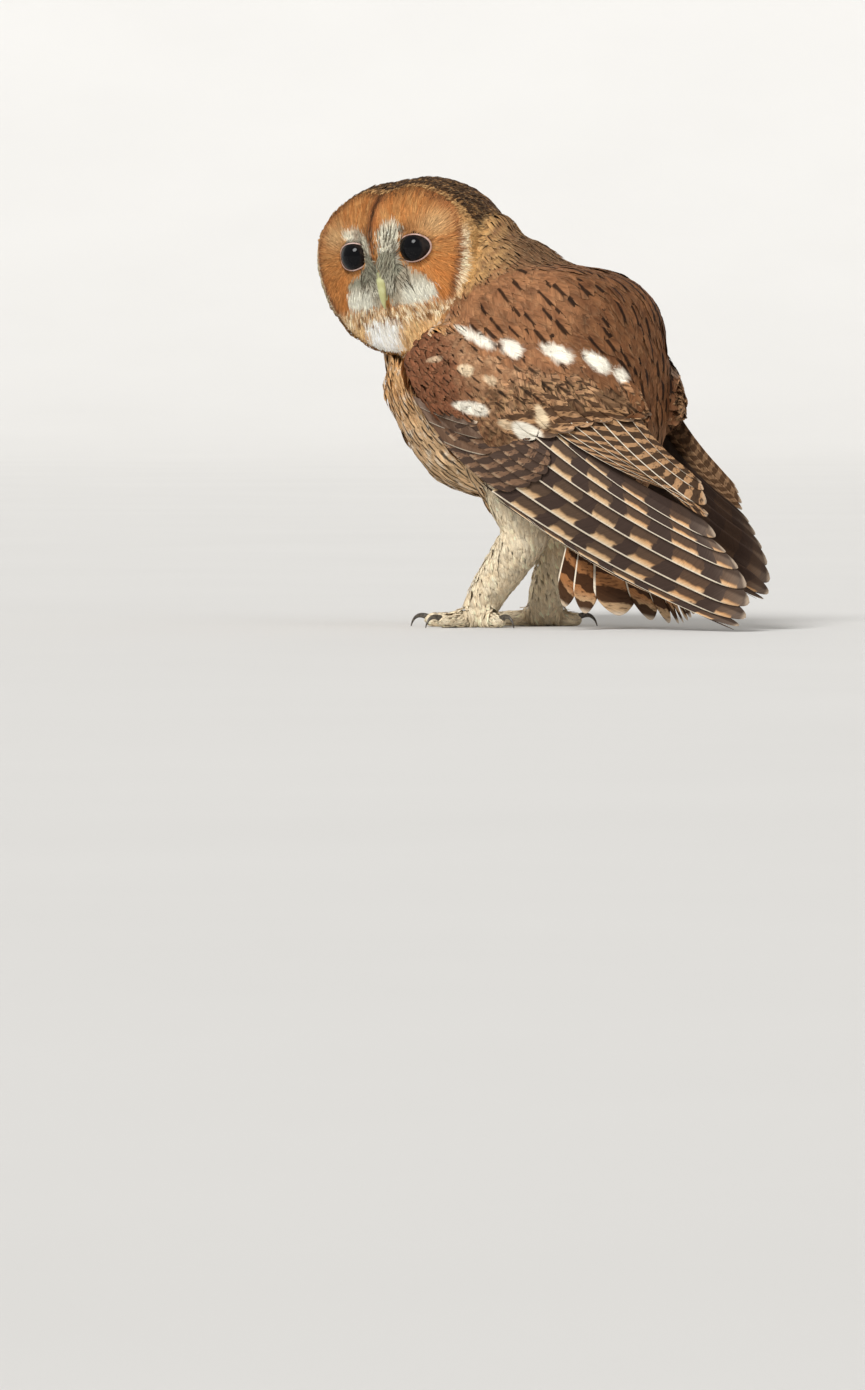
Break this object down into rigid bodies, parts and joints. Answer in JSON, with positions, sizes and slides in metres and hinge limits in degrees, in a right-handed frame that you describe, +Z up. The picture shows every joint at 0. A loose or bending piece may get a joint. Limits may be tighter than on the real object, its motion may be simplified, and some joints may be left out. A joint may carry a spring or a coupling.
{
  "type": "tawny owl",
  "caption": "Life-size tawny owl of the rufous form, standing and leaning forward, head turned to its left, wings folded, tail part spread.",
  "frame": {"origin": "on the floor under the middle of the bounding box", "axes": "+Z up; the body faces -X and 35 degrees towards +Y, so its left side faces -Y; the face looks along -Y and 30 degrees towards -X"},
  "size_m": [0.2704, 0.205, 0.2698],
  "materials": {
    "face_feathers": "matt",
    "body_feathers": "matt",
    "flight_feathers": "matt",
    "leg_feathers": "matt",
    "eye": "wet gloss",
    "bill": "satin horn",
    "claw": "satin horn"
  },
  "bodies": {
    "root": {"head": "face_feathers", "eye_left": "eye", "eye_right": "eye", "bill_upper": "bill", "bill_lower": "bill", "neck": "body_feathers", "trunk": "body_feathers", "wing_left_arm": "body_feathers", "wing_left_secondaries": "flight_feathers", "wing_left_primaries": "flight_feathers", "wing_right_arm": "body_feathers", "wing_right_secondaries": "flight_feathers", "wing_right_primaries": "flight_feathers", "tail": "flight_feathers", "thigh_left": "leg_feathers", "shank_left": "leg_feathers", "foot_left": "leg_feathers", "claw_left_inner": "claw", "claw_left_middle": "claw", "claw_left_outer": "claw", "claw_left_hind": "claw", "thigh_right": "leg_feathers", "shank_right": "leg_feathers", "foot_right": "leg_feathers", "claw_right_inner": "claw", "claw_right_middle": "claw", "claw_right_outer": "claw", "claw_right_hind": "claw"}
  },
  "joints": []
}
